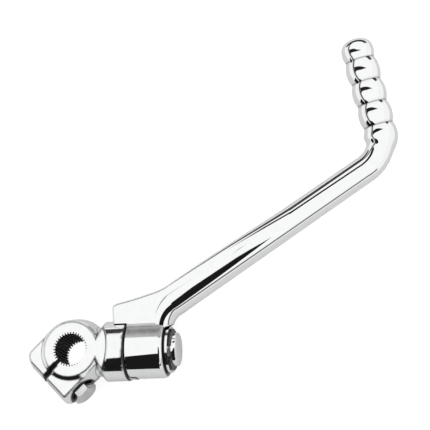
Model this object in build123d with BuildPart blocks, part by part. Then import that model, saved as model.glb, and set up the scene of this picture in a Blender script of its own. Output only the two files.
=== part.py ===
from build123d import *
import os
from math import asin, cos, degrees, pi, radians, sin, sqrt, tan

os.makedirs("parts", exist_ok=True)

# Folding kick start lever, in millimetres. The origin is the middle of the serrated bore.
# +Z runs out along the bore, +X along the spindle that the arm folds on.

# Serrated bore
spline_count = 36
spline_tip_radius = 9.15
spline_depth = 1.15
spline_land_share = 0.46
spline_root_share = 0.30

# Clamp, drafted both ways from its middle plane
clamp_radius = 20.5
clamp_reach = 24.8
clamp_draft = 14.0
boss_depth = 24.8
ear_drop = 2.1
ring_radius = 16.0
ring_overlap = 0.27
slit_angle = 225.0
slit_width = 2.5
thread_ear_corner = 8.0
bolt_ear_corner = 4.2
ear_edge = 0.8

# Neck and collar
neck_half_width = 14.6
neck_half_depth = 12.1
neck_end = 14.6
collar_start = 19.6
collar_radius = 17.6
collar_end = 33.4
collar_edge = 0.7
spot_face_radius = 23.0

# Stop lug on the collar and the slot for it in the hub
lug_near_angle = 171.0
lug_sweep = 54.0
lug_length = 4.4
lug_root_radius = 3.0
lug_clearance = 0.3
fold_travel = 100.0

# Spindle
spindle_radius = 9.7
spindle_end = 62.7
spindle_end_radius = 2.1
running_clearance = 0.06
groove_depth = 1.0

# Hub of the arm
hub_radius = 16.5
hub_end = 56.2
hub_end_radius = 2.4
hub_near_edge = 0.6
end_float = 0.3
washer_float = 0.15

# Thrust washer and circlip
washer_radius = 13.6
washer_thickness = 2.2
washer_bore_clearance = 0.25
washer_spot_margin = 1.2
circlip_thickness = 1.2
circlip_radius = 12.2
circlip_seat_clearance = 0.05
circlip_opening = 46.0
circlip_opening_at = 109.0
circlip_eye_radius = 0.8
circlip_eye_inset = 1.9

# Arm plane, web and rod
stow_lean = 13.8
web_half_thickness = 7.5
web_start = 24.7
web_heel_height = 28.0
web_heel_radius = 2.4
web_edge = 1.3
web_waist_at = 48.0
web_waist_height = 33.5
web_heel_slope = 9.0
web_fillet = 2.5
web_clearance = 0.6
web_root_start = 44.0
web_root_end = 53.5
rod_angle = 31.45
rod_at = 77.1
rod_height = 37.8
rod_radius_root = 8.8
rod_radius_bend = 7.95
blend_start = 63.0
ridge_edge_radius = 2.0
blend_height = 9.6
blend_end = 96.0
blend_sink = 0.2
root_start = 61.0
root_steps = 4
root_turn = 58.0
root_turn_radius = 18.0
root_radius = 7.5

# Bend and peg
bend_lead = 6.0
bend_steps = 12
bend_radius = 20.8
bend_waist_radius = 7.85
bend_swell_length = 8.0
peg_angle = 102.4
peg_pitch = 13.16
rib_count = 5
rib_radius = 9.8
rib_groove_radius = 8.35
cap_height = 12.95
cap_radius = 9.3
cap_barrel_start = 3.0
cap_barrel_end = 7.4
cap_shoulder_radius = 8.1
cap_shoulder_height = 9.9
cap_brow_radius = 6.3
cap_brow_height = 11.7
cap_top_radius = 2.4
corner_along_rod = 131.6
groove_above_corner = 17.2

# Pinch bolt and its spring washer
bolt_radius = 4.0
thread_root_radius = 3.3
bolt_length = 30.0
bolt_seat = 16.4
bolt_seat_radius = 8.6
bolt_head_flats = 13.0
bolt_head_height = 5.3
bolt_crown_radius = 6.1
bolt_crown_angle = 30.0
thread_runout = 0.8
bolt_hole_clearance = 0.25
shaft_clearance = 0.05
thread_clearance = 0.02
lock_washer_radius = 7.4
lock_washer_thickness = 1.9
lock_washer_gap = 1.2

# Spring plunger in the spindle
plunger_at = 46.5
plunger_radius = 3.0
plunger_shoulder = 9.0
plunger_tip = 10.5
plunger_tip_radius = 1.5
plunger_foot = 4.6
plunger_clearance = 0.06
track_clearance = 0.3
plunger_floor = -5.0
spring_radius = 2.2
spring_wire = 0.7
spring_turns = 2.5
spring_steps = 6
spring_end_gap = 0.06
round_steps = 3
rib_steps = 3


def polar(radius, angle):
    # Point at a radius and an angle in degrees
    return Vector(radius * cos(radians(angle)), radius * sin(radians(angle)))


# Places that follow from the sizes
ear_top = boss_depth / 2 - ear_drop
ring_foot = clamp_radius - ear_top * tan(radians(clamp_draft)) + ring_overlap
spline_root_radius = spline_tip_radius + spline_depth
tooth_pitch = 360 / spline_count
space_half = tooth_pitch * (1 - spline_land_share) / 2
root_half = tooth_pitch * spline_root_share / 2
slit_direction = Vector(cos(radians(slit_angle)), sin(radians(slit_angle)), 0)
bolt_direction = Vector(-sin(radians(slit_angle)), cos(radians(slit_angle)), 0)
clamp_plane = Plane((0, 0, 0), x_dir=slit_direction, z_dir=(0, 0, 1))
bolt_offset = spline_tip_radius + thread_root_radius + shaft_clearance
bolt_plane = Plane(slit_direction * bolt_offset, x_dir=slit_direction, z_dir=bolt_direction)
bolt_side = Plane(slit_direction * bolt_offset, x_dir=slit_direction, z_dir=(0, 0, 1))
bolt_axis = Axis(slit_direction * bolt_offset, bolt_direction)
head_start = bolt_seat + lock_washer_thickness
head_end = head_start + bolt_head_height
shank_reach = sqrt(spline_tip_radius**2 - (bolt_offset - bolt_radius) ** 2) + thread_runout
lug_radius = collar_radius - collar_edge
lug_gap_angle = degrees(lug_clearance / spindle_radius)
hub_start = collar_end + end_float
hub_bore = spindle_radius + running_clearance
slot_end = collar_end + lug_length + end_float
washer_start = hub_end + washer_float
circlip_start = washer_start + washer_thickness + circlip_seat_clearance
groove_start = circlip_start - circlip_seat_clearance
groove_end = circlip_start + circlip_thickness + circlip_seat_clearance
groove_radius = spindle_radius - groove_depth
circlip_inner = groove_radius + circlip_seat_clearance
circlip_middle = (circlip_inner + circlip_radius) / 2
circlip_from = circlip_opening_at + circlip_opening / 2
circlip_sweep = 360 - circlip_opening
circlip_eye_angle = degrees(circlip_eye_inset / circlip_middle)
arm_up = Vector(0, cos(radians(stow_lean)), sin(radians(stow_lean)))
arm_normal = Vector(0, -sin(radians(stow_lean)), cos(radians(stow_lean)))
arm_plane = Plane((0, 0, 0), x_dir=(1, 0, 0), z_dir=arm_normal)
rod_dir = Vector(cos(radians(rod_angle)), sin(radians(rod_angle)))
rod_up = Vector(-sin(radians(rod_angle)), cos(radians(rod_angle)))
rod_foot = Vector(rod_at, rod_height)


def on_rod(u):
    # Point of the rod's axis, in the arm's plane, at a distance along the spindle
    return rod_foot + rod_dir * ((u - rod_at) / rod_dir.X)


peg_dir = Vector(cos(radians(peg_angle)), sin(radians(peg_angle)))
corner = rod_foot + rod_dir * corner_along_rod
bend_turn = peg_angle - rod_angle
bend_tangent = bend_radius * tan(radians(bend_turn / 2))
bend_length = bend_radius * radians(bend_turn)
bend_start = corner - rod_dir * bend_tangent
bend_centre = bend_start + rod_up * bend_radius
peg_foot = corner + peg_dir * bend_tangent
first_rib = groove_above_corner - peg_pitch / 2 - bend_tangent
first_rib_along = bend_length + bend_radius * asin(first_rib / bend_radius)
root_centre = on_rod(root_start) - rod_up * root_turn_radius
root_middle = root_centre + polar(root_turn_radius, rod_angle + root_turn / 2 + 90)
root_end = root_centre + polar(root_turn_radius, rod_angle + root_turn + 90)
first_groove = first_rib + peg_pitch / 2
rib_bulge = rib_radius - rib_groove_radius
rib_arc = (peg_pitch**2 / 4 + rib_bulge**2) / (2 * rib_bulge)
track_margin = degrees((plunger_radius + track_clearance) / spindle_radius)
track_from = 90 - track_margin
spring_bottom = plunger_floor + spring_wire / 2 + spring_end_gap
spring_top = plunger_foot - spring_wire / 2 - spring_end_gap
spring_rise = (spring_top - spring_bottom) / spring_turns


def across(point, direction):
    # Plane square to a direction that lies in the arm's plane
    origin = arm_plane.from_local_coords(point)
    heading = arm_plane.from_local_coords(direction)
    return Plane(origin, x_dir=arm_normal, z_dir=heading)


def beside(start, angle):
    # Plane on the spindle's axis, looking in from outside at an angle round it
    out = Vector(0, cos(radians(angle)), sin(radians(angle)))
    return Plane((start, 0, 0), x_dir=(1, 0, 0), z_dir=out)


def rounded_rim(end, radius, edge_radius):
    # Points of a profile along the spindle where its outer rim rounds over to an end face
    centre = Vector(end - edge_radius, radius - edge_radius)
    return [centre + polar(edge_radius, 90 - 90 * step / round_steps) for step in range(round_steps + 1)]


def ridge_section(half_width, height, edge_radius):
    # Outline of the ridge across the rod, from its middle up and down again on the other side
    near = []
    for step in range(round_steps + 1):
        place = polar(edge_radius, 90 * step / round_steps)
        near.append(Vector(half_width - edge_radius, edge_radius - height) + Vector(place.X, -place.Y))
    far = [Vector(-point.X, point.Y) for point in reversed(near)]
    return [Vector(half_width, 0), *near, *far, Vector(-half_width, 0)]


def edges_at(builder, axis, place):
    # Edges square to an axis at a place along it, to within the finest clearance
    return builder.edges().filter_by_position(axis, place - thread_clearance, place + thread_clearance)


def on_web_rim(edge):
    # Whether an edge runs round the heel or along the top of the web
    place = arm_plane.to_local_coords(edge.center())
    on_side = abs(abs(place.Z) - web_half_thickness) < running_clearance
    return on_side and place.Y > hub_radius and place.X < web_waist_at


# Clamp boss with collar and spindle, one forging
with BuildPart() as kick_boss:
    with BuildSketch(clamp_plane) as clamp_outline:
        with BuildLine():
            Line((0, -clamp_radius), (clamp_reach, -clamp_radius))
            Line((clamp_reach, -clamp_radius), (clamp_reach, clamp_radius))
            Line((clamp_reach, clamp_radius), (0, clamp_radius))
            ThreePointArc((0, clamp_radius), (-clamp_radius, 0), (0, -clamp_radius))
        make_face()
        fillet(clamp_outline.vertices().group_by(Axis.X)[-1].sort_by(Axis.Y)[0], thread_ear_corner)
        fillet(clamp_outline.vertices().group_by(Axis.X)[-1].sort_by(Axis.Y)[-1], bolt_ear_corner)
    extrude(amount=boss_depth / 2, taper=clamp_draft)
    mirror(about=Plane.XY)
    with BuildSketch(Plane.XZ):
        with BuildLine():
            Polyline(
                (0, -boss_depth / 2),
                (ring_radius, -boss_depth / 2),
                (ring_foot, -ear_top),
                (2 * clamp_reach, -ear_top),
                (2 * clamp_reach, ear_top),
                (ring_foot, ear_top),
                (ring_radius, boss_depth / 2),
                (0, boss_depth / 2),
                close=True,
            )
        make_face()
    revolve(axis=Axis.Z, mode=Mode.INTERSECT)
    ear_rims = edges_at(kick_boss, Axis.Z, ear_top) + edges_at(kick_boss, Axis.Z, -ear_top)
    chamfer(ear_rims.filter_by(GeomType.LINE), ear_edge)

    # Neck, swelling into the collar
    with BuildSketch(Plane.YZ):
        Ellipse(neck_half_width, neck_half_depth)
    extrude(amount=collar_start)
    with BuildSketch(Plane.XY):
        with BuildLine():
            Polyline(
                (neck_end, 0),
                (neck_end, neck_half_depth + shaft_clearance),
                (collar_start, collar_radius),
                (collar_end, collar_radius),
                (collar_end, 0),
                close=True,
            )
        make_face()
    revolve(axis=Axis.X)
    chamfer(edges_at(kick_boss, Axis.X, collar_end), collar_edge)

    # Faces machined square to the bore, cutting into the collar's near end
    with Locations((0, 0, boss_depth / 2)):
        Cylinder(
            spot_face_radius,
            collar_radius,
            align=(Align.CENTER, Align.CENTER, Align.MIN),
            mode=Mode.SUBTRACT,
        )
    with Locations((0, 0, -boss_depth / 2)):
        Cylinder(
            spot_face_radius,
            collar_radius,
            align=(Align.CENTER, Align.CENTER, Align.MAX),
            mode=Mode.SUBTRACT,
        )

    # Spindle, with its circlip groove and rounded end
    with BuildSketch(Plane.XY):
        with BuildLine():
            Polyline(
                (collar_end, 0),
                (collar_end, spindle_radius),
                (groove_start, spindle_radius),
                (groove_start, groove_radius),
                (groove_end, groove_radius),
                (groove_end, spindle_radius),
                *rounded_rim(spindle_end, spindle_radius, spindle_end_radius),
                (spindle_end, 0),
                close=True,
            )
        make_face()
    revolve(axis=Axis.X)

    # Stop lug with a hollow root on the side the arm rests against
    with BuildSketch(Plane.YZ.offset(collar_end)):
        with BuildLine():
            CenterArc((0, 0), lug_radius, lug_near_angle, lug_sweep)
            CenterArc((0, 0), groove_radius, lug_near_angle, lug_sweep)
            Line(polar(groove_radius, lug_near_angle), polar(lug_radius, lug_near_angle))
            Line(
                polar(groove_radius, lug_near_angle + lug_sweep),
                polar(lug_radius, lug_near_angle + lug_sweep),
            )
        make_face()
    extrude(amount=lug_length)
    with BuildSketch(beside(collar_end, lug_near_angle).offset(groove_radius)):
        Rectangle(lug_root_radius, lug_root_radius, align=(Align.MIN, Align.MIN))
        with Locations((lug_root_radius, lug_root_radius)):
            Circle(lug_root_radius, mode=Mode.SUBTRACT)
    extrude(amount=lug_radius - groove_radius)

    # Serrations for the kick shaft
    with BuildSketch(Plane.XY.offset(-boss_depth / 2)):
        Circle(spline_tip_radius)
        with PolarLocations(0, spline_count):
            Polygon(
                polar(spline_tip_radius, -space_half),
                polar(spline_root_radius, -root_half),
                polar(spline_root_radius, root_half),
                polar(spline_tip_radius, space_half),
                align=None,
            )
    extrude(amount=boss_depth, mode=Mode.SUBTRACT)

    # Slit between the ears
    with BuildSketch(clamp_plane):
        Rectangle(2 * clamp_reach, slit_width, align=(Align.MIN, Align.CENTER))
    extrude(amount=boss_depth, both=True, mode=Mode.SUBTRACT)

    # Bolt hole, plain on the head's side and tapped beyond the slit, with a faced seat
    with BuildSketch(bolt_plane):
        Circle(bolt_radius + bolt_hole_clearance)
    extrude(amount=2 * clamp_radius, mode=Mode.SUBTRACT)
    with BuildSketch(bolt_plane):
        Circle(thread_root_radius + thread_clearance)
    extrude(amount=-2 * clamp_radius, mode=Mode.SUBTRACT)
    with BuildSketch(bolt_plane.offset(bolt_seat)):
        Circle(bolt_seat_radius)
    extrude(amount=2 * clamp_radius, mode=Mode.SUBTRACT)

    # Cross hole for the spring plunger
    with BuildSketch(Plane.XY.offset(plunger_floor)):
        with Locations((plunger_at, 0)):
            Circle(plunger_radius + plunger_clearance)
    extrude(amount=2 * spindle_radius, mode=Mode.SUBTRACT)
kick_boss.part.label = "kick_boss"
export_step(kick_boss.part, "parts/kick_boss.step")


def rib_radius_at(distance):
    # Radius of a rib at a distance along the peg from its fullest place
    return rib_radius - rib_arc + sqrt(rib_arc**2 - distance**2)


def bend_radius_at(along):
    # Section radius along the bend, thinnest before it swells into the first rib
    if along < 0:
        return rod_radius_bend
    if along > first_rib_along:
        return rib_radius_at(along - first_rib_along)
    swell_start = first_rib_along - bend_swell_length
    if along > swell_start:
        share = (1 - cos(pi * (along - swell_start) / bend_swell_length)) / 2
        return bend_waist_radius + (rib_radius - bend_waist_radius) * share
    share = (1 + cos(pi * along / swell_start)) / 2
    return bend_waist_radius + (rod_radius_bend - bend_waist_radius) * share


def bend_plane(along):
    # Plane square to the arm's axis at a distance along the bend
    if along < 0:
        return across(bend_start + rod_dir * along, rod_dir)
    if along > bend_length:
        return across(peg_foot + peg_dir * (along - bend_length), peg_dir)
    turned = rod_angle + degrees(along / bend_radius)
    return across(bend_centre + polar(bend_radius, turned - 90), polar(1, turned))


# Distances along the arm from the start of the bend, with the radius at each
bend_outline = []
for step in range(bend_steps):
    along = (bend_length + first_groove + bend_lead) * step / bend_steps - bend_lead
    bend_outline.append((along, bend_radius_at(along)))
peg_outline = []
for step in range((rib_count - 2) * rib_steps):
    along = bend_length + first_groove + step / rib_steps * peg_pitch
    peg_outline.append((along, rib_radius_at((step % rib_steps / rib_steps - 0.5) * peg_pitch)))
cap_start = bend_length + first_groove + (rib_count - 2) * peg_pitch
peg_outline += [
    (cap_start, rib_groove_radius),
    (cap_start + cap_barrel_start, cap_radius),
    (cap_start + cap_barrel_end, cap_radius),
    (cap_start + cap_shoulder_height, cap_shoulder_radius),
    (cap_start + cap_brow_height, cap_brow_radius),
    (cap_start + cap_height, cap_top_radius),
]

# Fillets between the hub and the web, running out at the root of the rod
with BuildPart() as web_root:
    with BuildSketch(Plane((hub_start, 0, 0), x_dir=arm_up, z_dir=(1, 0, 0))) as keyhole:
        Circle(hub_radius)
        Rectangle(
            web_heel_height - web_fillet,
            2 * web_half_thickness,
            align=(Align.MIN, Align.CENTER),
        )
        fillet(keyhole.vertices().group_by(Axis.X)[-2], web_fillet)
    extrude(amount=web_root_end - hub_start)
    with BuildSketch(Plane((0, 0, 0), x_dir=(1, 0, 0), z_dir=arm_up)):
        with BuildLine():
            Polyline(
                (hub_start, -hub_radius),
                (web_root_start, -hub_radius),
                (web_root_end, -web_half_thickness),
                (web_root_end, web_half_thickness),
                (web_root_start, hub_radius),
                (hub_start, hub_radius),
                close=True,
            )
        make_face()
    extrude(amount=web_heel_height, mode=Mode.INTERSECT)

# Arm with hub, web, rod and foot peg, one forging
with BuildPart() as lever_arm:
    # Web plate with bevelled rims
    blend_top = on_rod(blend_start) + rod_up * blend_height
    with BuildSketch(arm_plane) as web_outline:
        with BuildLine():
            Line((web_start, spindle_radius), (web_start, web_heel_height))
            Spline(
                (web_start, web_heel_height),
                (web_waist_at, web_waist_height),
                blend_top,
                tangents=(polar(1, web_heel_slope), rod_dir),
            )
            Line(blend_top, on_rod(blend_start))
            Line(on_rod(blend_start), on_rod(root_start))
            ThreePointArc(on_rod(root_start), root_middle, root_end)
            Line(root_end, (web_start, spindle_radius))
        make_face()
        heel = web_outline.vertices().group_by(Axis.X)[0].sort_by(Axis.Y)[-1]
        fillet(heel, web_heel_radius)
    extrude(amount=web_half_thickness, both=True)
    chamfer(lever_arm.edges().filter_by(on_web_rim), web_edge)

    # Hub with a rounded outer end, and its fillets up to the web
    with BuildSketch(Plane.XY):
        with BuildLine():
            Polyline(
                (hub_start, 0),
                (hub_start, hub_radius - hub_near_edge),
                (hub_start + hub_near_edge, hub_radius),
                *rounded_rim(hub_end, hub_radius, hub_end_radius),
                (hub_end, 0),
                close=True,
            )
        make_face()
    revolve(axis=Axis.X)
    add(web_root.part)

    # Ridge that runs out of the web into the round of the rod
    rod_length = (bend_start - on_rod(root_start)).length - bend_lead
    blend_share = (on_rod(blend_end) - on_rod(root_start)).length / rod_length
    blend_round = rod_radius_root + (rod_radius_bend - rod_radius_root) * blend_share - blend_sink
    with BuildSketch(across(on_rod(blend_start), rod_dir)):
        Polygon(*ridge_section(web_half_thickness, blend_height, ridge_edge_radius), align=None)
    with BuildSketch(across(on_rod(blend_end), rod_dir)):
        Polygon(*ridge_section(blend_round, blend_round, blend_round - blend_sink), align=None)
    loft(ruled=True)

    # Rod from its root in the hub through the bend to the ribbed foot peg with its domed end
    for step in range(root_steps, -1, -1):
        share = step / root_steps
        turned = rod_angle + share * root_turn
        place = root_centre + polar(root_turn_radius, turned + 90)
        with BuildSketch(across(place, polar(1, turned))):
            Circle(rod_radius_root + (root_radius - rod_radius_root) * share)
    for along, radius in bend_outline + peg_outline:
        with BuildSketch(bend_plane(along)):
            Circle(radius)
    loft(ruled=True)

    # Room for the collar under the web, and for the washer beyond the hub
    with BuildSketch(Plane.YZ.offset(hub_start)):
        Circle(collar_radius + web_clearance)
    extrude(amount=-hub_start, mode=Mode.SUBTRACT)
    with BuildSketch(Plane.YZ.offset(hub_end)):
        Circle(washer_radius + washer_spot_margin)
    extrude(amount=spindle_end - hub_end, mode=Mode.SUBTRACT)

    # Bore for the spindle
    with BuildSketch(Plane.YZ.offset(hub_start)):
        Circle(hub_bore)
    extrude(amount=hub_end - hub_start, mode=Mode.SUBTRACT)

    # Slot for the stop lug, rounded to clear the lug's hollow root
    slot_from = lug_near_angle - lug_gap_angle
    slot_sweep = lug_sweep + fold_travel + 2 * lug_gap_angle
    with BuildSketch(Plane.YZ.offset(hub_start)):
        with BuildLine():
            CenterArc((0, 0), collar_radius, slot_from, slot_sweep)
            CenterArc((0, 0), groove_radius, slot_from, slot_sweep)
            Line(polar(groove_radius, slot_from), polar(collar_radius, slot_from))
            Line(
                polar(groove_radius, slot_from + slot_sweep),
                polar(collar_radius, slot_from + slot_sweep),
            )
        make_face()
    extrude(amount=slot_end - hub_start, mode=Mode.SUBTRACT)
    with BuildSketch(beside(hub_start, slot_from).offset(groove_radius)):
        Rectangle(lug_root_radius, lug_root_radius, align=(Align.MIN, Align.MIN))
        with Locations((lug_root_radius, lug_root_radius)):
            Circle(lug_root_radius, mode=Mode.SUBTRACT)
    extrude(amount=collar_radius - groove_radius, mode=Mode.SUBTRACT)

    # Track in the bore for the nose of the spring plunger
    track_half_foot = plunger_radius + track_clearance
    track_half_top = plunger_tip_radius + track_clearance
    track_start = Vector(0, -sin(radians(track_from)), cos(radians(track_from)))
    with BuildSketch(Plane((0, 0, 0), x_dir=(1, 0, 0), z_dir=track_start)):
        with BuildLine():
            Polyline(
                (plunger_at - track_half_foot, plunger_shoulder),
                (plunger_at - track_half_top, plunger_tip + track_clearance),
                (plunger_at + track_half_top, plunger_tip + track_clearance),
                (plunger_at + track_half_foot, plunger_shoulder),
                close=True,
            )
        make_face()
    revolve(axis=Axis.X, revolution_arc=fold_travel + 2 * track_margin, mode=Mode.SUBTRACT)
lever_arm.part.label = "lever_arm"
export_step(lever_arm.part, "parts/lever_arm.step")

# Pinch bolt, with the thread drawn at its root
with BuildPart() as pinch_bolt:
    with BuildSketch(bolt_plane.offset(head_start)):
        RegularPolygon(bolt_head_flats / 2, 6, major_radius=False)
    extrude(amount=bolt_head_height)
    crown_fall = (bolt_head_flats - bolt_crown_radius) * tan(radians(bolt_crown_angle))
    with BuildSketch(bolt_side):
        with BuildLine():
            Polyline(
                (0, head_start),
                (bolt_head_flats, head_start),
                (bolt_head_flats, head_end - crown_fall),
                (bolt_crown_radius, head_end),
                (0, head_end),
                close=True,
            )
        make_face()
    revolve(axis=bolt_axis, mode=Mode.INTERSECT)
    with BuildSketch(bolt_plane.offset(head_start)):
        Circle(bolt_radius)
    extrude(amount=shank_reach - head_start)
    with BuildSketch(bolt_plane.offset(head_start)):
        Circle(thread_root_radius)
    extrude(amount=-bolt_length)
pinch_bolt.part.label = "pinch_bolt"
export_step(pinch_bolt.part, "parts/pinch_bolt.step")

# Spring washer under the bolt's head
with BuildPart() as lock_washer:
    with BuildSketch(bolt_plane.offset(bolt_seat)):
        Circle(lock_washer_radius)
        Circle(bolt_radius + bolt_hole_clearance, mode=Mode.SUBTRACT)
        Rectangle(
            lock_washer_gap,
            2 * lock_washer_radius,
            align=(Align.CENTER, Align.MIN),
            mode=Mode.SUBTRACT,
        )
    extrude(amount=lock_washer_thickness)
lock_washer.part.label = "lock_washer"
export_step(lock_washer.part, "parts/lock_washer.step")

# Thrust washer
with BuildPart() as thrust_washer:
    with BuildSketch(Plane.YZ.offset(washer_start)):
        Circle(washer_radius)
        Circle(spindle_radius + washer_bore_clearance, mode=Mode.SUBTRACT)
    extrude(amount=washer_thickness)
thrust_washer.part.label = "thrust_washer"
export_step(thrust_washer.part, "parts/thrust_washer.step")

# Circlip, open towards the front, with plier eyes
with BuildPart() as circlip:
    with BuildSketch(Plane.YZ.offset(circlip_start)):
        with BuildLine():
            CenterArc((0, 0), circlip_radius, circlip_from, circlip_sweep)
            CenterArc((0, 0), circlip_inner, circlip_from, circlip_sweep)
            Line(polar(circlip_inner, circlip_from), polar(circlip_radius, circlip_from))
            Line(
                polar(circlip_inner, circlip_from + circlip_sweep),
                polar(circlip_radius, circlip_from + circlip_sweep),
            )
        make_face()
        with Locations(
            polar(circlip_middle, circlip_from + circlip_eye_angle),
            polar(circlip_middle, circlip_from + circlip_sweep - circlip_eye_angle),
        ):
            Circle(circlip_eye_radius, mode=Mode.SUBTRACT)
    extrude(amount=circlip_thickness)
circlip.part.label = "circlip"
export_step(circlip.part, "parts/circlip.step")

# Spring plunger, a pin with a tapered nose
with BuildPart() as detent_plunger:
    with BuildSketch(Plane.XZ):
        with BuildLine():
            Polyline(
                (0, plunger_foot),
                (plunger_radius, plunger_foot),
                (plunger_radius, plunger_shoulder),
                (plunger_tip_radius, plunger_tip),
                (0, plunger_tip),
                close=True,
            )
        make_face()
    revolve(axis=Axis.Z)
detent_plunger.part.locate(Location((plunger_at, 0, 0)))
detent_plunger.part.label = "detent_plunger"
export_step(detent_plunger.part, "parts/detent_plunger.step")

# Coil spring behind the plunger, of square wire
with BuildPart() as detent_spring:
    for step in range(round(spring_turns * spring_steps) + 1):
        turned = 360 * step / spring_steps
        rise = spring_bottom + spring_rise * step / spring_steps
        place = Vector(plunger_at, 0, rise) + polar(spring_radius, turned)
        with BuildSketch(Plane(place, x_dir=polar(1, turned), z_dir=polar(1, turned + 90))):
            Rectangle(spring_wire, spring_wire)
    loft(ruled=True)
detent_spring.part.label = "detent_spring"
export_step(detent_spring.part, "parts/detent_spring.step")
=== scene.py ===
from math import asin, cos, degrees, pi, radians, sin, sqrt, tan

import bmesh
import bpy
from mathutils import Matrix, Vector


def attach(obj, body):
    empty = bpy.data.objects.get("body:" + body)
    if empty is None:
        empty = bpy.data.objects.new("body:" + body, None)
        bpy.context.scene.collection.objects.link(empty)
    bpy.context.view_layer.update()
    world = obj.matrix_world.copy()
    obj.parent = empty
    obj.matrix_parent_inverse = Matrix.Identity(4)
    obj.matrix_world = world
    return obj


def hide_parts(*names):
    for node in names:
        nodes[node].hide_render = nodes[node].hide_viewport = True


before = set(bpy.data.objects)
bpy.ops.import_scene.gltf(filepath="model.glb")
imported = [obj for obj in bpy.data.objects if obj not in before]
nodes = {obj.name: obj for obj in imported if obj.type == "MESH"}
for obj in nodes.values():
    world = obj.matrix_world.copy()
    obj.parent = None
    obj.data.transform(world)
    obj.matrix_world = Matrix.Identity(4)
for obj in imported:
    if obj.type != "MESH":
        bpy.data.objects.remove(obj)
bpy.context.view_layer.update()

scene = bpy.context.scene

# Sizes of the boss's spindle and collar, repeated from the solids, in millimetres and degrees
MM = 0.001
spindle_radius = 9.7
collar_radius = 17.6
collar_clearance = 0.6
groove_end = 59.9
spindle_end = 62.7
spindle_rim = 0.6
skin = 0.03

# Sizes of the arm's hub, with the slot for the stop lug and the room for the washer
stow_lean = 13.8
hub_start = 33.7
hub_end = 56.2
hub_radius = 16.5
hub_bore = 9.76
hub_near_edge = 0.6
hub_end_radius = 2.4
washer_room_radius = 14.8
washer_room_depth = 20.0
slot_from = 169.2
slot_sweep = 157.6
slot_end = 38.1
slot_corner = 3.0

# Sizes of the web and of the ridge that it runs out in
web_half_thickness = 7.5
web_start = 24.7
web_heel_height = 28.0
web_heel_radius = 2.4
web_heel_slope = 9.0
web_heel_gap = 0.5
web_waist = (48.0, 33.5)
web_rim_radius = 1.8
web_rim_fullness = 1.8
web_fillet = 2.5
fillet_sink = 2.0
fillet_side_sink = 1.0
web_root_start = 44.0
web_root_end = 53.5
ridge_start = 63.0
ridge_height = 9.6
ridge_end = 138.0
ridge_sink = 0.12
ridge_flat = 0.02
ridge_rounding = 1.5

# Sizes of the rod, its bend and the ribbed peg
rod_angle = 31.45
rod_at = 77.1
rod_height = 37.8
rod_radius_root = 8.8
rod_radius_bend = 7.95
root_start = 61.0
root_turn = 58.0
root_turn_radius = 18.0
root_radius = 7.5
bend_lead = 6.0
bend_radius = 20.8
bend_waist_radius = 7.85
bend_swell_length = 8.0
peg_angle = 102.4
peg_pitch = 13.16
peg_full_ribs = 3
rib_radius = 9.8
rib_groove_radius = 8.35
corner_along_rod = 131.6
groove_above_corner = 17.2
cap_radius = 9.35
cap_swell_height = 4.8
cap_height = 12.95
cap_squareness = 2.5

# Where the finishes and the painted shade change, in millimetres and degrees
tooth_root_radius = 10.45
bore_half_depth = 12.25
slit_half_width = 1.32
slit_middle = 28.0
slit_half_length = 20.0
collar_gap_middle = 33.3
collar_gap_half = 0.6
crisp_tooth_radius = 11.3
clean_tooth_radius = 12.0
boss_edge = 2.4
bolt_edge = 0.45
washer_back_middle = 56.6
washer_back_half = 0.6
room_floor_shade = 0.4
room_wall_shade = 0.6
groove_line = 0.8
groove_shade = 0.6
rough_hub_angle = 60.0
relief_depth = 0.2
grain_share = 0.3

# Fineness of the arm's meshes
ROUND = 72
ROOT_STEPS = 20
ROD_STEPS = 12
BEND_STEP = 0.8
RIB_STEPS = 20
CAP_STEPS = 18
CAP_CROWDING = 2.5
RIM_STEPS = 10
HEEL_STEPS = 7
TOP_STEPS = 24
RIDGE_STEPS = 24
HUB_STEPS = 48
HUB_EDGE_STEPS = 4
SLOT_STEPS = 40
SLOT_CORNER_STEPS = 8
SPINDLE_RIM_STEPS = 5
GLOW_STEPS = 36
SHARP = radians(32)
WELD = 1e-6
SLIVER = 1e-7


def between(low, high, share):
    return low + (high - low) * share


def polar(radius, angle):
    return Vector((radius * cos(radians(angle)), radius * sin(radians(angle))))


def grey(shade):
    return (shade, shade, shade, 1)


def node(tree, kind, inputs=(), **settings):
    # A shader node with its settings, each input given as a value or as another node's output
    made = tree.nodes.new("ShaderNode" + kind)
    for name, value in settings.items():
        setattr(made, name, value)
    for name, value in dict(inputs).items():
        if isinstance(value, bpy.types.NodeSocket):
            tree.links.new(value, made.inputs[name])
        else:
            made.inputs[name].default_value = value
    return made


def new_paint(name):
    # A material without nodes
    paint = bpy.data.materials.new(name)
    paint.use_nodes = True
    paint.node_tree.nodes.clear()
    return paint


# Studio: camera, surroundings, cards and table

def set_camera():
    # The lens looks down on the lever from the front, a little from the right
    data = bpy.data.cameras.new("studio_camera")
    data.sensor_width = 36.0
    data.lens = 92.75
    data.clip_start = 0.05
    data.clip_end = 20.0
    camera = bpy.data.objects.new("studio_camera", data)
    scene.collection.objects.link(camera)
    place = Vector((0.20952, -0.12315, 0.62628))
    back = Vector((0.187, -0.305, 0.934)).normalized()
    right = Vector((0.981, 0.002, -0.196))
    right = (right - back * right.dot(back)).normalized()
    up = back.cross(right)
    turn = Matrix((right, up, back)).transposed().to_4x4()
    camera.matrix_world = Matrix.Translation(place) @ turn
    scene.camera = camera


def ramp_stops(ramp, stops):
    # Greys along a colour ramp
    elements = ramp.color_ramp.elements
    while len(elements) > 1:
        elements.remove(elements[-1])
    elements[0].position = stops[0][0]
    elements[0].color = grey(stops[0][1])
    for place, shade in stops[1:]:
        elements.new(place).color = grey(shade)


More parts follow.
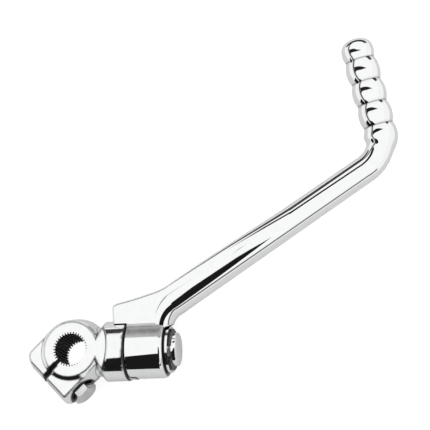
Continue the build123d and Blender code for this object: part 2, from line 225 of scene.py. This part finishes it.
def set_world():
    # A white tent with a dark line round it above the table, tilted to one side
    tilt = (0.25, 0.0, 0.968)
    greys = (
        (0.0, 0.95), (0.50, 0.95), (0.58, 0.80), (0.604, 0.60),
        (0.612, 0.04), (0.668, 0.04), (0.680, 0.80), (0.74, 1.0), (1.0, 1.0),
    )
    world = bpy.data.worlds.new("light_tent")
    scene.world = world
    world.use_nodes = True
    tree = world.node_tree
    tree.nodes.clear()
    place = node(tree, "TexCoord")
    rise = node(tree, "VectorMath", {0: place.outputs["Generated"], 1: tilt}, operation="DOT_PRODUCT")
    height = node(tree, "MapRange", {"Value": rise.outputs["Value"], "From Min": -1.0, "From Max": 1.0})
    tent = node(tree, "ValToRGB", {"Fac": height.outputs["Result"]})
    ramp_stops(tent, greys)
    seen = node(tree, "LightPath")
    mixed = node(tree, "MixShader", {
        "Fac": seen.outputs["Is Camera Ray"],
        1: node(tree, "Background", {"Color": tent.outputs["Color"]}).outputs[0],
        2: node(tree, "Background", {"Color": grey(1)}).outputs[0],
    })
    node(tree, "OutputWorld", {"Surface": mixed.outputs[0]})


def flat_sheet(name, corners, paint):
    # One flat face through corners in millimetres
    mesh = bpy.data.meshes.new(name)
    mesh.from_pydata([Vector(corner) * MM for corner in corners], [], [tuple(range(len(corners)))])
    mesh.materials.append(paint)
    sheet = bpy.data.objects.new(name, mesh)
    scene.collection.objects.link(sheet)
    return sheet


def add_card(name, corners, shade):
    # A studio card that only shows where polished metal mirrors it
    paint = new_paint(name)
    glow = node(paint.node_tree, "Emission", {"Color": grey(shade)})
    node(paint.node_tree, "OutputMaterial", {"Surface": glow.outputs[0]})
    card = flat_sheet(name, corners, paint)
    card.visible_camera = False
    card.visible_diffuse = False
    card.visible_shadow = False
    return card


def lying(outline, height):
    return [(x, y, height) for x, y in outline]


def standing(start, end, low, high):
    return [(*start, low), (*end, low), (*end, high), (*start, high)]


def add_cards():
    # Dark shape above the hub, dark screens round the lever, a seam in the roof and a white side
    table_top, roof = -17, 150
    front = (
        (48, 0), (90, 5), (110, -8), (150, -45), (158, -200), (150, -290), (60, -300),
        (35, -560), (-170, -660), (-170, -545), (-60, -140), (13, -71), (33, -63),
    )
    seam = ((28, 99), (28, 174), (159, 162), (233, 151), (159, 132), (78, 126))
    add_card("dark_front", lying(front, roof), 0.01)
    add_card("dark_screen", standing((-700, -560), (35, -560), table_top, roof), 0.01)
    add_card("roof_seam", lying(seam, roof), 0.015)
    add_card("dark_left", standing((-210, -60), (-60, -210), 0, 170), 0.01)
    add_card("dark_back", standing((-300, 420), (520, 420), 40, 190), 0.05)
    add_card("white_side", standing((430, -150), (430, 400), table_top, 160), 0.95)


def add_table():
    # White table under the collar: it keeps the lever's soft shadow, and lets an arm folded below it show
    left, right, front, behind, level = -400, 360, -500, 500, -17.7
    mirrored_white, shaded_white, clearness = 0.75, 0.40, 0.78
    paint = new_paint("table_white")
    tree = paint.node_tree
    mirrored = node(tree, "BsdfDiffuse", {"Color": grey(mirrored_white)})
    shaded = node(tree, "BsdfDiffuse", {"Color": grey(shaded_white)})
    clear = node(tree, "BsdfTransparent", {"Color": grey(clearness)})
    looked_at = node(tree, "AddShader", {0: shaded.outputs[0], 1: clear.outputs[0]})
    seen = node(tree, "LightPath")
    mixed = node(tree, "MixShader", {
        "Fac": seen.outputs["Is Camera Ray"],
        1: mirrored.outputs[0],
        2: looked_at.outputs[0],
    })
    node(tree, "OutputMaterial", {"Surface": mixed.outputs[0]})
    outline = ((left, front), (right, front), (right, behind), (left, behind))
    table = flat_sheet("table", lying(outline, level), paint)


def add_bore_glow():
    # Glowing patch on the table where it is seen through the bore: painted light that hides the boss's
    # shadow there
    middle, radius, level = Vector((-3.5, 5.8)), 12.5, -17.6
    rim = [middle + polar(radius, 360 * step / GLOW_STEPS) for step in range(GLOW_STEPS)]
    glow_patch = add_card("bore_glow", lying(rim, level), 1.0)
    glow_patch.visible_camera = True
    glow_patch.visible_glossy = False


# Effects that several metals share

def new_group(name, inputs, outputs):
    # A node group with its named inputs and outputs, each given with the kind of its socket
    group = bpy.data.node_groups.new(name, "ShaderNodeTree")
    for label, kind in inputs.items():
        group.interface.new_socket(label, in_out="INPUT", socket_type="NodeSocket" + kind)
    for label, kind in outputs.items():
        group.interface.new_socket(label, in_out="OUTPUT", socket_type="NodeSocket" + kind)
    return group, group.nodes.new("NodeGroupInput").outputs


def put_out(group, results):
    # What the group gives at each of its outputs
    give = group.nodes.new("NodeGroupOutput").inputs
    for label, socket in results.items():
        group.links.new(socket, give[label])
    return group


def polish_group():
    # Buffing waves, casting grain and hazy patches, with a near-black painted shade where a piece is
    # marked for it
    group, given = new_group("polish", {
        "Dull colour": "Color",
        "Bright colour": "Color",
        "Painted shade": "Float",
        "Base roughness": "Float",
        "Haze": "Float",
        "Grain share": "Float",
    }, {"Colour": "Color", "Roughness": "Float", "Height": "Float"})
    place = node(group, "TexCoord").outputs["Object"]

    def noise(scale, detail):
        spread = {"Vector": place, "Scale": scale, "Detail": detail}
        return node(group, "TexNoise", spread).outputs["Fac"]

    wave = noise(70.0, 1.0)
    grain = noise(900.0, 2.0)
    haze = noise(260.0, 4.0)
    roughness = node(group, "Math", {
        0: haze,
        1: given["Haze"],
        2: given["Base roughness"],
    }, operation="MULTIPLY_ADD")
    height = node(group, "Mix", {"Factor": given["Grain share"], "A": wave, "B": grain})
    tone = node(group, "Mix", {
        "Factor": haze,
        "A": given["Dull colour"],
        "B": given["Bright colour"],
    }, data_type="RGBA")
    with_painted_shade = node(group, "Mix", {
        "Factor": given["Painted shade"],
        "A": tone.outputs["Result"],
        "B": (0.03, 0.03, 0.032, 1),
    }, data_type="RGBA")
    return put_out(group, {
        "Colour": with_painted_shade.outputs["Result"],
        "Roughness": roughness.outputs[0],
        "Height": height.outputs["Result"],
    })


def edge_rounding_and_painted_line_group():
    # Rounded normals at the edges, and a line from 0 to 1 where they turn away from the face's own: a
    # painted dark reflection along the edges
    line_start, line_end, line_most = 0.985, 0.90, 0.85
    group, given = new_group("edge_rounding_and_painted_line", {"Radius": "Float"}, {"Normal": "Vector", "Line": "Float"})
    rounded = node(group, "Bevel", {"Radius": given["Radius"]}, samples=8).outputs["Normal"]
    flat = node(group, "NewGeometry").outputs["True Normal"]
    turn = node(group, "VectorMath", {0: rounded, 1: flat}, operation="DOT_PRODUCT")
    line = node(group, "MapRange", {
        "Value": turn.outputs["Value"],
        "From Min": line_start,
        "From Max": line_end,
        "To Max": line_most,
    })
    return put_out(group, {"Normal": rounded, "Line": line.outputs["Result"]})


def painted_dark_group():
    # Painted dark: a dull near-black colour where the mask is 1, for painted shade in hollows and gaps
    # and painted dark lines along edges
    group, given = new_group(
        "painted_dark",
        {"Painted dark": "Float", "Colour": "Color", "Roughness": "Float"},
        {"Colour": "Color", "Roughness": "Float"},
    )
    colour = node(group, "Mix", {
        "Factor": given["Painted dark"],
        "A": given["Colour"],
        "B": (0.05, 0.05, 0.052, 1),
    }, data_type="RGBA")
    roughness = node(group, "Mix", {"Factor": given["Painted dark"], "A": given["Roughness"], "B": 0.38})
    return put_out(group, {"Colour": colour.outputs["Result"], "Roughness": roughness.outputs["Result"]})


def slab_group():
    # 1 between two planes square to a direction
    group, given = new_group(
        "slab",
        {"Direction": "Vector", "Middle": "Float", "Half width": "Float"},
        {"Inside": "Float"},
    )
    place = node(group, "TexCoord").outputs["Object"]
    along = node(group, "VectorMath", {0: place, 1: given["Direction"]}, operation="DOT_PRODUCT")
    offset = node(group, "Math", {0: along.outputs["Value"], 1: given["Middle"]}, operation="SUBTRACT")
    size = node(group, "Math", {0: offset.outputs[0]}, operation="ABSOLUTE")
    inside = node(group, "Math", {0: size.outputs[0], 1: given["Half width"]}, operation="LESS_THAN")
    return put_out(group, {"Inside": inside.outputs[0]})


polish = polish_group()
edge_rounding_and_painted_line = edge_rounding_and_painted_line_group()
painted_dark = painted_dark_group()
slab = slab_group()


# Finishes

def metal(name, dull, bright, roughness, haze, relief, edge_radius=0.0):
    # A metal whose colour, gloss and relief vary over the surface, near-black where a piece is marked
    # with painted shade, with rounded edges when an edge radius is given
    paint = new_paint(name)
    tree = paint.node_tree
    finish = node(tree, "Group", node_tree=polish, inputs={
        "Dull colour": (*dull, 1),
        "Bright colour": (*bright, 1),
        "Painted shade": node(tree, "Attribute", attribute_name="painted_shade").outputs["Fac"],
        "Base roughness": roughness,
        "Haze": haze,
        "Grain share": grain_share,
    }).outputs
    bump = node(tree, "Bump", {
        "Strength": relief,
        "Distance": relief_depth * MM,
        "Height": finish["Height"],
    })
    if edge_radius:
        edge = node(tree, "Group", {"Radius": edge_radius * MM}, node_tree=edge_rounding_and_painted_line, name="edge_rounding_and_painted_line")
        tree.links.new(edge.outputs["Normal"], bump.inputs["Normal"])
    shader = node(tree, "BsdfPrincipled", {
        "Base Color": finish["Colour"],
        "Metallic": 1.0,
        "Roughness": finish["Roughness"],
        "Normal": bump.outputs["Normal"],
    })
    node(tree, "OutputMaterial", {"Surface": shader.outputs["BSDF"]})
    return paint


def paint_dark_where(paint, mask):
    # Painted dark, dull and near-black, where the mask is 1, in place of the finish that the paint has
    # elsewhere
    tree = paint.node_tree
    shader = tree.nodes["Principled BSDF"].inputs
    darkened = node(tree, "Group", node_tree=painted_dark, inputs={
        "Painted dark": mask,
        "Colour": shader["Base Color"].links[0].from_socket,
        "Roughness": shader["Roughness"].links[0].from_socket,
    }).outputs
    tree.links.new(darkened["Colour"], shader["Base Color"])
    tree.links.new(darkened["Roughness"], shader["Roughness"])


def in_slab(paint, direction, middle, half):
    return node(paint.node_tree, "Group", node_tree=slab, inputs={
        "Direction": direction,
        "Middle": middle * MM,
        "Half width": half * MM,
    }).outputs["Inside"]


def joined(paint, operation, first, second):
    return node(paint.node_tree, "Math", {0: first, 1: second}, operation=operation).outputs[0]


def bore_distance(paint):
    # Distance from the axis of the serrated bore
    place = node(paint.node_tree, "TexCoord").outputs["Object"]
    across = node(paint.node_tree, "VectorMath", {0: place, 1: (1, 1, 0)}, operation="MULTIPLY")
    reach = node(paint.node_tree, "VectorMath", {0: across.outputs["Vector"]}, operation="LENGTH")
    return reach.outputs["Value"]


pale_chrome, clear_chrome = (0.90, 0.905, 0.91), (0.97, 0.975, 0.98)


def bright_chrome():
    return metal("bright_chrome", pale_chrome, clear_chrome, 0.01, 0.03, 0.02)


def hazy_chrome():
    # Chrome over a face that the buffing wheel doesn't reach
    return metal("hazy_chrome", (0.42, 0.42, 0.43), (0.78, 0.78, 0.79), 0.20, 0.35, 0.6)


def boss_chrome():
    # Painted shade, near-black, in the serrations of the bore, the slit and the gap at the collar's end
    paint = metal("boss_chrome", pale_chrome, clear_chrome, 0.015, 0.05, 0.05, boss_edge)
    tree = paint.node_tree
    distance = bore_distance(paint)

    def nearer(radius):
        return node(tree, "Math", {0: distance, 1: radius * MM}, operation="LESS_THAN").outputs[0]

    half = sqrt(0.5)
    in_depth = in_slab(paint, (0, 0, 1), 0, bore_half_depth)
    bore = joined(paint, "MULTIPLY", nearer(tooth_root_radius), in_depth)
    slit_width = in_slab(paint, (half, -half, 0), 0, slit_half_width)
    slit_length = in_slab(paint, (-half, -half, 0), slit_middle, slit_half_length)
    slit = joined(paint, "MULTIPLY", slit_width, slit_length)
    gap = in_slab(paint, (1, 0, 0), collar_gap_middle, collar_gap_half)
    paint_dark_where(paint, joined(paint, "MAXIMUM", joined(paint, "MAXIMUM", bore, slit), gap))

    # The painted dark edge lines and the rounded edges keep clear of the serrations, which stay crisp
    edge = tree.nodes["edge_rounding_and_painted_line"].outputs
    paint_dark_where(paint, joined(paint, "SUBTRACT", edge["Line"], nearer(clean_tooth_radius)))
    eased = node(tree, "Mix", {
        "Factor": nearer(crisp_tooth_radius),
        "A": edge["Normal"],
        "B": node(tree, "NewGeometry").outputs["Normal"],
    }, data_type="VECTOR")
    tree.links.new(eased.outputs["Result"], tree.nodes["Bump"].inputs["Normal"])
    return paint


def zinc_plate():
    paint = metal("zinc_plate", (0.50, 0.51, 0.50), (0.90, 0.91, 0.90), 0.06, 0.12, 0.5, bolt_edge)
    # Painted dark lines along the bolt head's edges, where its rounded normals turn
    paint_dark_where(paint, paint.node_tree.nodes["edge_rounding_and_painted_line"].outputs["Line"])
    return paint


def blackened_spring():
    return metal("blackened_spring", (0.03, 0.03, 0.032), (0.07, 0.07, 0.075), 0.25, 0.2, 0.2)


def washer_steel():
    # Painted shade at the washer's back, in its room in the hub
    paint = metal("washer_steel", pale_chrome, clear_chrome, 0.06, 0.10, 0.15)
    paint_dark_where(paint, in_slab(paint, (1, 0, 0), washer_back_middle, washer_back_half))
    return paint


def ground_steel():
    return metal("ground_steel", (0.6, 0.61, 0.62), (0.8, 0.81, 0.82), 0.10, 0.15, 0.15)


# The arm's axis, worked out from its sizes

rod_dir = polar(1, rod_angle)
rod_up = polar(1, rod_angle + 90)
peg_dir = polar(1, peg_angle)
rod_foot = Vector((rod_at, rod_height))


def on_rod(u):
    return rod_foot + rod_dir * ((u - rod_at) / rod_dir.x)


bend_turn = peg_angle - rod_angle
bend_tangent = bend_radius * tan(radians(bend_turn / 2))
bend_length = bend_radius * radians(bend_turn)
corner = rod_foot + rod_dir * corner_along_rod
bend_start = corner - rod_dir * bend_tangent
bend_centre = bend_start + rod_up * bend_radius
peg_foot = corner + peg_dir * bend_tangent
root_foot = on_rod(root_start)
root_centre = root_foot - rod_up * root_turn_radius
rod_length = (bend_start - root_foot).length - bend_lead
first_rib = groove_above_corner - peg_pitch / 2 - bend_tangent
first_rib_along = bend_length + bend_radius * asin(first_rib / bend_radius)
first_groove_along = bend_length + first_rib + peg_pitch / 2
rib_bulge = rib_radius - rib_groove_radius
rib_arc = (peg_pitch**2 / 4 + rib_bulge**2) / (2 * rib_bulge)
heel_radius = collar_radius + collar_clearance


def arm_point(u, v, n):
    # From a place along the spindle, up the web and out of the arm's plane
    lean = radians(stow_lean)
    return Vector((u, v * cos(lean) - n * sin(lean), v * sin(lean) + n * cos(lean)))


def ring(x, radius):
    # Points round the spindle's axis
    turns = [2 * pi * step / ROUND for step in range(ROUND)]
    return [Vector((x, radius * cos(turn), radius * sin(turn))) for turn in turns]


def grid_mesh(name, rows, ends="capped", onward=False):
    # Skin over rows of points, its ends capped, closed by strips from side to side, or left open
    bm = bmesh.new()
    grid = [[bm.verts.new(point * MM) for point in row] for row in rows]
    count = len(rows[0])
    pairs = list(zip(grid, grid[1:]))
    if onward:
        pairs.append((grid[-1], grid[0]))
    for near, far in pairs:
        for k in range(count):
            m = (k + 1) % count
            bm.faces.new((near[k], near[m], far[m], far[k]))
    if ends == "capped":
        bm.faces.new(list(reversed(grid[0])))
        bm.faces.new(grid[-1])
    if ends == "strips":
        for row in (grid[0], grid[-1]):
            for k in range(count // 2 - 1):
                bm.faces.new((row[k], row[k + 1], row[-2 - k], row[-1 - k]))
    bmesh.ops.remove_doubles(bm, verts=bm.verts, dist=WELD)
    bmesh.ops.dissolve_degenerate(bm, edges=bm.edges, dist=SLIVER)
    bmesh.ops.recalc_face_normals(bm, faces=bm.faces)
    return finish_mesh(name, bm)


def finish_mesh(name, bm):
    # Smooth faces, with creases where the skin turns sharply
    for face in bm.faces:
        face.smooth = True
    for edge in bm.edges:
        edge.smooth = len(edge.link_faces) == 2 and edge.calc_face_angle() < SHARP
    mesh = bpy.data.meshes.new(name)
    bm.to_mesh(mesh)
    bm.free()
    piece = bpy.data.objects.new(name, mesh)
    scene.collection.objects.link(piece)
    return piece


# Rod and peg

def rib_radius_at(distance):
    # Round of a rib at a distance from its middle
    return rib_radius - rib_arc + sqrt(rib_arc**2 - distance**2)


def bend_radius_at(along):
    # Thinnest before it swells into the first rib
    if along < 0:
        return rod_radius_bend
    if along > first_rib_along:
        return rib_radius_at(along - first_rib_along)
    swell_start = first_rib_along - bend_swell_length
    if along > swell_start:
        swell = (1 - cos(pi * (along - swell_start) / bend_swell_length)) / 2
        return between(bend_waist_radius, rib_radius, swell)
    return between(bend_waist_radius, rod_radius_bend, (1 + cos(pi * along / swell_start)) / 2)


def bend_frame(along):
    # Place and heading at a distance from the start of the bend
    if along < 0:
        return bend_start + rod_dir * along, rod_angle
    if along > bend_length:
        return peg_foot + peg_dir * (along - bend_length), peg_angle
    heading = rod_angle + degrees(along / bend_radius)
    return bend_centre + polar(bend_radius, heading - 90), heading


def arm_spine():
    # Place, heading and radius from the root in the hub to the crown of the peg
    spine = []
    for step in range(ROOT_STEPS, 0, -1):
        share = step / ROOT_STEPS
        heading = rod_angle + share * root_turn
        place = root_centre + polar(root_turn_radius, heading + 90)
        spine.append((place, heading, between(rod_radius_root, root_radius, share)))
    for step in range(ROD_STEPS):
        share = step / ROD_STEPS
        place = root_foot + rod_dir * (rod_length * share)
        spine.append((place, rod_angle, between(rod_radius_root, rod_radius_bend, share)))
    bend_steps = round((bend_lead + first_groove_along) / BEND_STEP)
    for step in range(bend_steps):
        along = (bend_lead + first_groove_along) * step / bend_steps - bend_lead
        spine.append((*bend_frame(along), bend_radius_at(along)))
    for step in range(peg_full_ribs * RIB_STEPS):
        along = first_groove_along + step / RIB_STEPS * peg_pitch
        from_middle = (step % RIB_STEPS / RIB_STEPS - 0.5) * peg_pitch
        spine.append((*bend_frame(along), rib_radius_at(from_middle)))
    cap_start = first_groove_along + peg_full_ribs * peg_pitch
    for step in range(CAP_STEPS):
        share = step / CAP_STEPS
        radius = between(rib_groove_radius, cap_radius, sin(pi / 2 * share))
        spine.append((*bend_frame(cap_start + cap_swell_height * share), radius))
    for step in range(CAP_STEPS):
        rise = 1 - (1 - step / CAP_STEPS) ** CAP_CROWDING
        along = cap_start + between(cap_swell_height, cap_height, rise)
        radius = cap_radius * (1 - rise**cap_squareness) ** (1 / cap_squareness)
        spine.append((*bend_frame(along), radius))
    return spine


def build_rod():
    # Root, rod, bend and ribbed peg in one sweep, with room cut for the washer at the root
    rows = []
    for place, heading, radius in arm_spine():
        across = polar(1, heading + 90)
        row = []
        for step in range(ROUND):
            turn = 2 * pi * step / ROUND
            spot = place + across * (radius * sin(turn))
            row.append(arm_point(spot.x, spot.y, radius * cos(turn)))
        rows.append(row)
    rod = grid_mesh("arm_rod_and_peg", rows)
    room_ends = (hub_end, hub_end + washer_room_depth)
    room = grid_mesh("washer_room", [ring(x, washer_room_radius) for x in room_ends])
    cut = rod.modifiers.new("washer_room", "BOOLEAN")
    cut.object = room
    cut.operation = "DIFFERENCE"
    cut.solver = "EXACT"
    applied = bpy.data.meshes.new_from_object(rod.evaluated_get(bpy.context.evaluated_depsgraph_get()))
    bm = bmesh.new()
    bm.from_mesh(applied)
    for old in (rod, room):
        bpy.data.objects.remove(old)
    return finish_mesh("arm_rod_and_peg", bm)


# Web

def web_curve(start, waist, finish):
    # Points and outward normals on a smooth curve from the heel over the waist to the ridge
    first, second = (waist - start).length, (finish - waist).length
    lead, trail = polar(1, web_heel_slope), rod_dir
    pull = ((waist - start) * (second / first) + (finish - waist) * (first / second)) * 3
    middle = (pull - lead * second - trail * first) / (2 * (first + second))
    curve = []
    spans = ((start, waist, first, lead, middle), (waist, finish, second, middle, trail))
    for a, b, length, enter, leave in spans:
        for step in range(TOP_STEPS):
            t = step / TOP_STEPS
            place = a * (2 * t**3 - 3 * t**2 + 1) + b * (3 * t**2 - 2 * t**3)
            place = place + enter * (length * (t**3 - 2 * t**2 + t)) + leave * (length * (t**3 - t**2))
            slope = (b - a) * (6 * t - 6 * t**2) / length
            slope = slope + enter * (3 * t**2 - 4 * t + 1) + leave * (3 * t**2 - 2 * t)
            curve.append((place, Vector((-slope.y, slope.x)).normalized()))
    curve.append((finish, rod_up))
    return curve


def web_top():
    # Points and outward normals up the heel, round its corner and along the top of the web to the ridge
    low = sqrt(heel_radius**2 - web_half_thickness**2)
    rounding = Vector((web_start + web_heel_radius, web_heel_height - web_heel_radius))
    path = []
    for step in range(HEEL_STEPS):
        height = between(low, rounding.y, step / HEEL_STEPS)
        path.append((Vector((web_start, height)), Vector((-1, 0))))
    for step in range(RIM_STEPS + 1):
        turn = 180 - (90 - web_heel_slope) * step / RIM_STEPS
        path.append((rounding + polar(web_heel_radius, turn), polar(1, turn)))
    start = Vector((web_start, web_heel_height))
    finish = on_rod(ridge_start) + rod_up * ridge_height
    curve = web_curve(start, Vector(web_waist), finish)
    return path + [item for item in curve if item[0].x > rounding.x + web_heel_gap]


def web_section(place, out, half, edge, fullness):
    # Rim of the web across its thickness: rounded edge, top and the other rounded edge
    rim = []
    run = edge * fullness
    for step in range(RIM_STEPS + 1):
        turn = radians(90 * step / RIM_STEPS)
        rim.append((half - run + run * cos(turn), edge * sin(turn) - edge))
    rim += [(-across, depth) for across, depth in reversed(rim)]
    return [(place + out * depth, across) for across, depth in rim]


def foot_line(share):
    # Lower edge of the web, buried in the hub and then in the root of the rod
    if share < 0.5:
        buried = Vector((hub_start, web_half_thickness))
        root_end = root_centre + polar(root_turn_radius, rod_angle + root_turn + 90)
        return buried.lerp(root_end, 2 * share)
    if share < 1:
        return root_centre + polar(root_turn_radius, rod_angle + root_turn * (2 - 2 * share) + 90)
    return on_rod(ridge_start)


def web_rows():
    # Rim and foot of the web, from its heel over the collar to the start of the ridge
    path = web_top()
    rows = []
    for index, (place, out) in enumerate(path):
        rim = web_section(place, out, web_half_thickness, web_rim_radius, web_rim_fullness)
        over_collar = [(sqrt(heel_radius**2 - across**2), across) for _, across in rim]
        if index == 0:
            top = [arm_point(spot.x, v, n) for (spot, _), (v, n) in zip(rim, over_collar)]
        else:
            top = [arm_point(spot.x, spot.y, across) for spot, across in rim]
        if place.x < hub_start:
            foot = [arm_point(hub_start, v, n) for v, n in over_collar]
        else:
            low = foot_line((place.x - hub_start) / (path[-1][0].x - hub_start))
            foot = [arm_point(low.x, low.y, across) for _, across in rim]
        rows.append(top + foot[::-1])
    return rows


def ridge_rows():
    # Rim and foot of the ridge, which grows rounder until it sinks into the rod
    rows = []
    for step in range(1, RIDGE_STEPS + 1):
        share = step / RIDGE_STEPS
        eased = share * share * (3 - 2 * share)
        axis = on_rod(ridge_start).lerp(on_rod(ridge_end), share)
        along = (axis - root_foot).length / rod_length
        sunk = between(rod_radius_root, rod_radius_bend, along) - ridge_sink
        half = between(web_half_thickness, sunk, eased)
        height = between(ridge_height, sunk, eased)
        edge = between(web_rim_radius, sunk - ridge_flat, share**ridge_rounding)
        fullness = between(web_rim_fullness, 1, min(1, 2 * share))
        rim = web_section(axis + rod_up * height, rod_up, half, edge, fullness)
        top = [arm_point(spot.x, spot.y, across) for spot, across in rim]
        foot = [arm_point(axis.x, axis.y, across) for _, across in rim]
        rows.append(top + foot[::-1])
    return rows


def build_web():
    # Web over the hub with a rounded rim, running out as a ridge into the round of the rod
    return grid_mesh("arm_web", web_rows() + ridge_rows(), ends="strips")


# Hub, fillets and the spindle's end

def quarter_round(x, r, radius, x_side, steps, rising):
    # Rounded outer corner of a turned outline, towards lower x for side -1 and higher x for side 1
    points = []
    for step in range(steps + 1):
        turn = radians(90 * (step / steps if rising else 1 - step / steps))
        points.append((x - x_side * radius * (1 - cos(turn)), r - radius * (1 - sin(turn))))
    return points


def hub_outline(near):
    # Outline of the hub from the bore's near end round the outside to the bore's far end
    near_edge = quarter_round(near, hub_radius, hub_near_edge, -1, HUB_EDGE_STEPS, True)
    far_edge = quarter_round(hub_end, hub_radius, hub_end_radius, 1, RIM_STEPS, False)
    return [(near, hub_bore), *near_edge, *far_edge, (hub_end, hub_bore)]


def build_hub():
    # Hub turned round the spindle, stepped back where the stop lug runs in its slot
    corner_angle = degrees(slot_corner / (hub_radius - slot_corner))
    solid_sweep = 360 - slot_sweep - corner_angle
    columns = []
    for step in range(HUB_STEPS):
        columns.append((slot_from + slot_sweep + solid_sweep * step / HUB_STEPS, hub_start))
    for step in range(SLOT_CORNER_STEPS + 1):
        share = step / SLOT_CORNER_STEPS
        near = hub_start + slot_corner * (1 - sqrt(1 - share**2))
        columns.append((slot_from + 360 - corner_angle * (1 - share), near))
    for step in range(SLOT_STEPS + 1):
        columns.append((slot_from + 360 + slot_sweep * step / SLOT_STEPS, slot_end))
    rows = []
    for angle, near in columns:
        turn = radians(angle)
        rows.append([Vector((x, r * cos(turn), r * sin(turn))) for x, r in hub_outline(near)])
    return grid_mesh("arm_hub", rows, ends="open", onward=True)


def build_fillet(name, side):
    # Hollow fillet between one side of the web and the hub, cut off on a slant at the root
    reach = hub_radius + web_fillet
    aside = web_half_thickness + web_fillet
    middle = Vector((sqrt(reach**2 - aside**2), aside))
    touch = degrees(asin(middle.x / reach))
    hollow = []
    for step in range(RIM_STEPS + 1):
        turn = radians(180 + touch - touch * step / RIM_STEPS)
        hollow.append((middle.x + web_fillet * sin(turn), middle.y + web_fillet * cos(turn)))
    hollow.append((middle.x - web_fillet - fillet_sink, web_half_thickness - fillet_side_sink))
    slant = (web_root_end - web_root_start) / (hub_radius - web_half_thickness)
    near = [arm_point(hub_start, v, side * n) for v, n in hollow]
    far = [arm_point(web_root_start + (hub_radius - n) * slant, v, side * n) for v, n in hollow]
    return grid_mesh(name, [near, far])


def build_spindle_end():
    # Turned end of the spindle with its rim just broken, over the solid's rounded end
    end, radius = spindle_end + skin, spindle_radius + skin
    rim = quarter_round(end, radius, spindle_rim, 1, SPINDLE_RIM_STEPS, False)
    outline = [(groove_end, 0.0), (groove_end, radius), *rim, (end, 0.0)]
    piece = grid_mesh("spindle_end", [ring(x, r) for x, r in outline], ends="open")
    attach(piece, "boss")
    return piece


# Painted shade on the arm

def mark_painted_shade(piece, amount_at):
    # How much painted shade each point of a piece gets, in its creases and recesses
    marks = piece.data.attributes.new("painted_shade", "FLOAT", "POINT")
    for spot, mark in zip(piece.data.vertices, marks.data):
        mark.value = amount_at(spot.co / MM)
    return piece


def rod_painted_shade(spot):
    # Painted shade: a dark line in each groove of the peg, and dark all over in the room for the washer
    if sqrt(spot.y**2 + spot.z**2) < washer_room_radius + skin:
        return 1.0
    lean = radians(stow_lean)
    flat = Vector((spot.x, spot.y * cos(lean) + spot.z * sin(lean)))
    ribs = ((flat - peg_foot).dot(peg_dir) + bend_length - first_groove_along) / peg_pitch
    if not -0.5 < ribs < peg_full_ribs + 0.5:
        return 0.0
    return groove_shade * max(0.0, 1 - abs(ribs - round(ribs)) * peg_pitch / groove_line)


def hub_painted_shade(spot):
    # Painted shade where the hub meets the collar and behind the washer
    from_axis = sqrt(spot.y**2 + spot.z**2)
    inside_room = spot.x > hub_end - room_floor_shade and from_axis < washer_room_radius + room_wall_shade
    return 1.0 if inside_room or spot.x < hub_start + hub_near_edge / 2 else 0.0


def build_arm():
    pieces = [
        mark_painted_shade(build_rod(), rod_painted_shade),
        build_web(),
        mark_painted_shade(build_hub(), hub_painted_shade),
        build_fillet("arm_fillet_front", 1),
        build_fillet("arm_fillet_back", -1),
    ]
    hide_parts("lever_arm")
    for piece in pieces:
        even = piece.modifiers.new("even_normals", "WEIGHTED_NORMAL")
        even.keep_sharp = True
        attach(piece, "arm")
    return pieces


def finish_arm(arm, chrome, hazy):
    # Bright all over, but hazy on the fillets and on the hub beside the web
    for piece in arm:
        piece.data.materials.append(hazy if "fillet" in piece.name else chrome)
    hub = next(piece.data for piece in arm if piece.name == "arm_hub")
    hub.materials.append(hazy)
    web_side = arm_point(0, 1, 0)
    for face in hub.polygons:
        round_spindle = Vector((0, face.center.y, face.center.z))
        if degrees(round_spindle.angle(web_side)) < rough_hub_angle:
            face.material_index = 1


def finish_solids(paints):
    for name, paint in paints.items():
        mesh = nodes[name].data
        mesh.materials.clear()
        mesh.materials.append(paint)


set_camera()
set_world()
add_table()
add_bore_glow()
add_cards()

arm = build_arm()
spindle = build_spindle_end()
chrome = bright_chrome()
black = blackened_spring()
ground = ground_steel()
finish_arm(arm, chrome, hazy_chrome())
spindle.data.materials.append(chrome)
finish_solids({
    "kick_boss": boss_chrome(),
    "pinch_bolt": zinc_plate(),
    "lock_washer": black,
    "thrust_washer": washer_steel(),
    "circlip": black,
    "detent_plunger": ground,
    "detent_spring": ground,
})
scene.view_settings.view_transform = "Standard"
